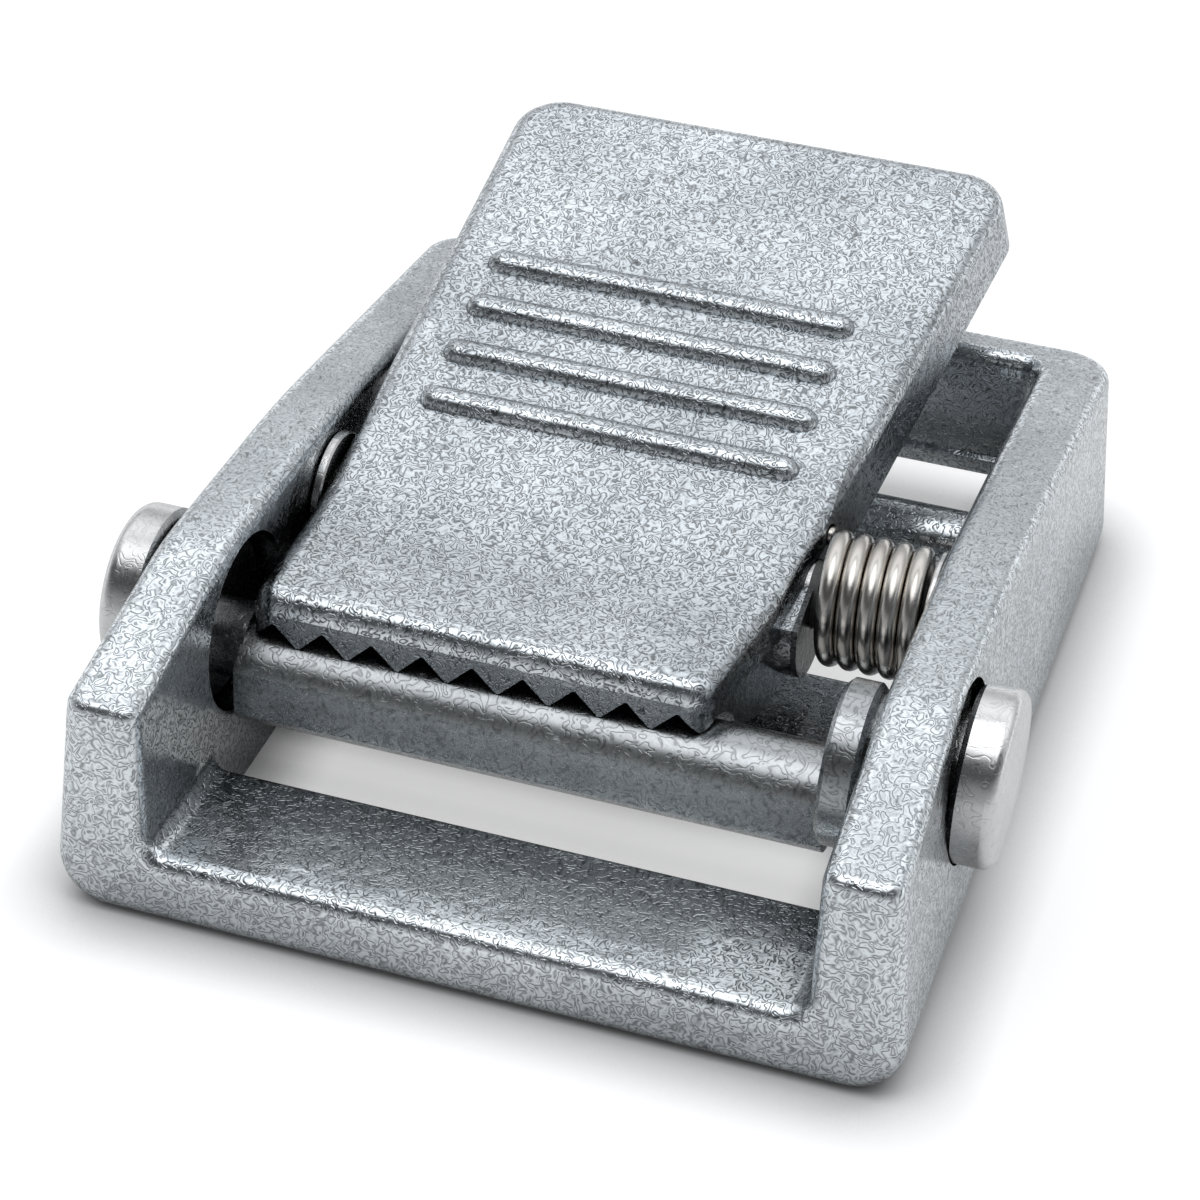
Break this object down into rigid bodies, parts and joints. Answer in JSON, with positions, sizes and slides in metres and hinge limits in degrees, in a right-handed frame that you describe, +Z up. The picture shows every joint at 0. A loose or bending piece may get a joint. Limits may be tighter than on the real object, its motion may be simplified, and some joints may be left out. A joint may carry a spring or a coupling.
{
  "type": "strapping buckle",
  "caption": "Cam buckle for webbing: an open cast frame, a round clamp bar and a toothed, spring-loaded lever on a cross pin.",
  "frame": {"origin": "centre of the buckle's bounding box seen from above, at the height of the flat underside", "axes": "+X across the strap towards the spring side, +Y from the front bar to the rear wall and the handle's end, +Z up from the flat underside"},
  "size_m": [0.0388, 0.0468, 0.0171],
  "materials": {
    "zinc_casting": "bright zinc with a fine wormy cast texture and polished edges",
    "zinc_bar": "bright zinc, rolled smooth with shallow pitting",
    "plated_steel": "smooth bright plating",
    "spring_steel": "polished bare spring wire, slightly brown",
    "zinc_lever": "bright zinc with a fine wormy cast texture and polished edges"
  },
  "bodies": {
    "buckle": {"frame": "zinc_casting", "clamp_bar": "zinc_bar", "rivet_right": "plated_steel", "rivet_left": "plated_steel", "pivot_pin": "plated_steel", "washer_right": "plated_steel", "washer_left": "plated_steel", "torsion_spring": "spring_steel"},
    "lever": {"cam_lever": "zinc_lever"}
  },
  "joints": [
    {"name": "lever_pivot", "type": "hinge", "parent": "buckle", "child": "lever", "pos_m": [0, -0.00244, 0.00855], "axis": [-1, 0, 0], "range_deg": [0, 9], "stiffness_Nm_per_rad": 0.12, "springref_deg": -34.38, "deforming": ["torsion_spring"]}
  ]
}
